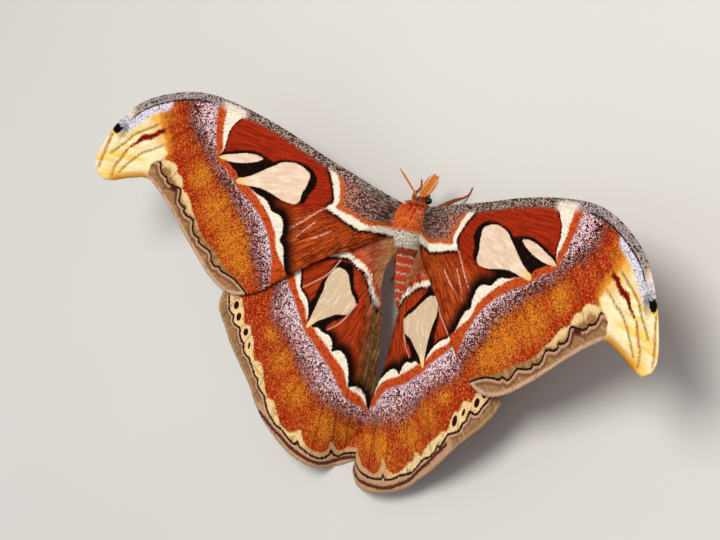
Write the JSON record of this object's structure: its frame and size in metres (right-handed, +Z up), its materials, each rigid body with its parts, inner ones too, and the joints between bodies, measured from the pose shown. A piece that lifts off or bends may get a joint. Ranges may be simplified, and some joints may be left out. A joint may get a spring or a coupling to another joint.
{
  "type": "atlas moth",
  "caption": "Still, life-size model of an atlas moth at rest, wings spread and slightly raised, feathered antennae.",
  "frame": {"origin": "middle of the bounding box's lowest face, on the surface the moth stands on", "axes": "+X towards the moth's right wing tip, +Y towards its head, +Z up"},
  "size_m": [0.253, 0.1234, 0.0496],
  "materials": {
    "wing": "scaled membrane, red-brown with cream, pink and black markings",
    "thorax": "orange-red fur",
    "abdomen": "short red fur with white rings",
    "head": "dark red fur",
    "eye": "glossy black",
    "antenna": "orange-brown, feathered",
    "leg": "short red-brown fur"
  },
  "bodies": {
    "root": {"head": "head", "eye_left": "eye", "eye_right": "eye", "antenna_left": "antenna", "antenna_right": "antenna", "thorax": "thorax", "abdomen": "abdomen", "leg_front_left": "leg", "leg_front_right": "leg", "leg_middle_left": "leg", "leg_middle_right": "leg", "leg_hind_left": "leg", "leg_hind_right": "leg", "forewing_left": "wing", "forewing_right": "wing", "hindwing_left": "wing", "hindwing_right": "wing"}
  },
  "joints": []
}
